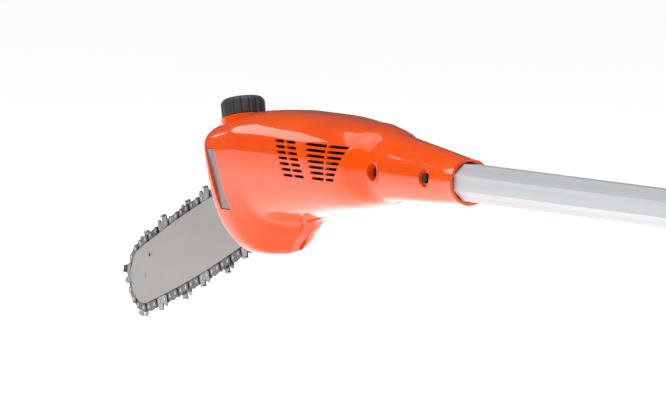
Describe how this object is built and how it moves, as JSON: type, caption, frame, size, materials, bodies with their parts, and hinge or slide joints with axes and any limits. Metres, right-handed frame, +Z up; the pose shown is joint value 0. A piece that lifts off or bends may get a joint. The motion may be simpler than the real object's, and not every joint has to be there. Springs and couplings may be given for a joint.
{
  "type": "telescoping pole saw",
  "caption": "Battery chain pole saw: guide bar and chain on a moulded motor head, octagonal telescoping tube with clamp lever, rear grip housing with trigger and slide-out battery.",
  "frame": {"origin": "on the ground under the middle of the whole saw, stowed and retracted", "axes": "+X back along the pole from the cutting head to the battery, +Y to the guide bar's side, +Z up"},
  "size_m": [2.3866, 0.1076, 0.2009],
  "materials": {
    "orange_plastic": "high-gloss moulded",
    "black_plastic": "fine texture",
    "grip_rubber": "matt, ribbed",
    "tube_alloy": "satin anodised",
    "bar_steel": "ground",
    "chain_steel": "oiled, dark between the links",
    "dark_steel": "blackened",
    "cast_alloy": "as cast",
    "clear_grey": "smoked",
    "tank_plastic": "translucent natural",
    "copper_wire": "enamelled",
    "board_green": "solder mask",
    "cell_wrap": "shrink wrap",
    "white_plastic": "smooth",
    "green_plastic": "smooth"
  },
  "bodies": {
    "rear": {"outer_tube": "tube_alloy", "clamp_body": "black_plastic", "clamp_hardware": "bar_steel", "coiled_lead": "grip_rubber", "harness_bracket": "black_plastic", "front_grip": "grip_rubber", "rear_shell_left": "black_plastic", "rear_shell_right": "black_plastic", "trigger_pins": "bar_steel", "trigger_springs": "bar_steel", "trigger_switch": "black_plastic", "key_panel": "black_plastic", "control_board": "board_green", "battery_contacts": "black_plastic", "rear_screws": "dark_steel", "rubber_feet": "grip_rubber"},
    "clamp_lever_body": {"clamp_lever": "orange_plastic"},
    "harness_ring_body": {"harness_ring": "bar_steel"},
    "trigger_body": {"power_trigger": "orange_plastic"},
    "lock_body": {"trigger_lock": "orange_plastic"},
    "power_key": {"power_button": "green_plastic"},
    "speed_key": {"speed_button": "white_plastic"},
    "battery": {"battery_case": "black_plastic", "battery_cells": "cell_wrap"},
    "latch": {"battery_latch": "orange_plastic"},
    "head": {"head_shell_near": "orange_plastic", "head_shell_far": "orange_plastic", "sprocket_cover": "orange_plastic", "oil_tank": "tank_plastic", "oil_window": "clear_grey", "oil_pump": "black_plastic", "motor_can": "bar_steel", "motor_stator": "copper_wire", "head_bearings": "bar_steel", "gear_case": "cast_alloy", "bar_studs": "bar_steel", "head_screws": "dark_steel", "tube_socket": "black_plastic", "inner_tube": "tube_alloy", "slide_bush": "white_plastic"},
    "rotor": {"motor_rotor": "bar_steel", "cooling_fan": "black_plastic", "pinion": "bar_steel"},
    "spindle_body": {"spindle": "bar_steel", "face_gear": "bar_steel", "drive_sprocket": "bar_steel"},
    "bar": {"bar_side_plates": "bar_steel", "bar_core": "bar_steel", "nose_bearing": "bar_steel", "tension_block": "bar_steel", "chain_drive_links": "chain_steel", "chain_tie_straps": "chain_steel", "chain_cutters_left": "chain_steel", "chain_cutters_right": "chain_steel", "chain_rivets": "chain_steel"},
    "nose": {"nose_sprocket": "bar_steel"},
    "tension": {"tension_screw": "dark_steel"},
    "knob": {"cover_knob": "black_plastic"},
    "cap_seal": {"oil_cap_seal": "grip_rubber"},
    "cap": {"oil_cap": "black_plastic"}
  },
  "joints": [
    {"name": "telescope", "type": "slide", "parent": "rear", "child": "head", "axis": [-1, 0, 0], "range_m": [0, 0.8], "deforming": ["coiled_lead"]},
    {"name": "clamp_swing", "type": "hinge", "parent": "rear", "child": "clamp_lever_body", "pos_m": [-0.09074, -0.02325, 0.18071], "axis": [-1, 0, 0], "range_deg": [0, 100]},
    {"name": "harness_swing", "type": "hinge", "parent": "rear", "child": "harness_ring_body", "pos_m": [0.72626, -0.00425, 0.11571], "axis": [1, 0, 0], "range_deg": [-60, 60]},
    {"name": "trigger_pull", "type": "hinge", "parent": "rear", "child": "trigger_body", "pos_m": [0.90226, -0.00425, 0.13771], "axis": [0, -1, 0], "range_deg": [0, 12], "stiffness_Nm_per_rad": 1.2, "springref_deg": -5.73},
    {"name": "lock_press", "type": "hinge", "parent": "rear", "child": "lock_body", "pos_m": [0.93226, -0.00425, 0.16271], "axis": [0, 1, 0], "range_deg": [0, 8], "stiffness_Nm_per_rad": 0.4, "springref_deg": -5.73},
    {"name": "power_press", "type": "slide", "parent": "rear", "child": "power_key", "axis": [0, 0, -1], "range_m": [0, 0.001], "stiffness_N_per_m": 600, "springref_m": -0.001},
    {"name": "speed_press", "type": "slide", "parent": "rear", "child": "speed_key", "axis": [0, 0, -1], "range_m": [0, 0.001], "stiffness_N_per_m": 600, "springref_m": -0.001},
    {"name": "battery_slide", "type": "slide", "parent": "rear", "child": "battery", "axis": [1, 0, 0], "range_m": [0, 0.12]},
    {"name": "latch_press", "type": "slide", "parent": "battery", "child": "latch", "axis": [0, 0, -1], "range_m": [0, 0.003], "stiffness_N_per_m": 500, "springref_m": -0.002},
    {"name": "motor_spin", "type": "hinge", "parent": "head", "child": "rotor", "pos_m": [-0.82374, -0.00425, 0.14471], "axis": [1, 0, 0], "continuous": true},
    {"name": "spindle_spin", "type": "hinge", "parent": "head", "child": "spindle_body", "pos_m": [-0.86874, -0.00425, 0.14471], "axis": [0, 1, 0], "continuous": true, "deforming": ["chain_drive_links"]},
    {"name": "bar_slide", "type": "slide", "parent": "head", "child": "bar", "axis": [-0.9348, 0, -0.3551], "range_m": [-0.004, 0]},
    {"name": "nose_spin", "type": "hinge", "parent": "bar", "child": "nose", "pos_m": [-1.15807, 0.02175, 0.0348], "axis": [0, 1, 0], "continuous": true},
    {"name": "tension_turn", "type": "hinge", "parent": "head", "child": "tension", "pos_m": [-0.91453, 0.00975, 0.1132], "axis": [-0.9348, 0, -0.3551], "range_deg": [-1800.1, 0.1]},
    {"name": "knob_turn", "type": "hinge", "parent": "head", "child": "knob", "pos_m": [-0.91548, 0.04575, 0.12696], "axis": [0, 1, 0], "range_deg": [0, 1080]},
    {"name": "cap_lift", "type": "slide", "parent": "head", "child": "cap_seal", "axis": [-0.2756, 0, 0.9613], "range_m": [0, 0.0125]},
    {"name": "cap_turn", "type": "hinge", "parent": "cap_seal", "child": "cap", "pos_m": [-0.91374, -0.02325, 0.18121], "axis": [-0.2756, 0, 0.9613], "range_deg": [-0.1, 900.1]}
  ],
  "couplings": [
    {"joint": "spindle_spin", "follows": "motor_spin", "ratio": -0.27778},
    {"joint": "nose_spin", "follows": "motor_spin", "ratio": -0.18519},
    {"joint": "tension_turn", "follows": "bar_slide", "rad_per_m": 7854},
    {"joint": "cap_turn", "follows": "cap_lift", "rad_per_m": 1256.6}
  ]
}
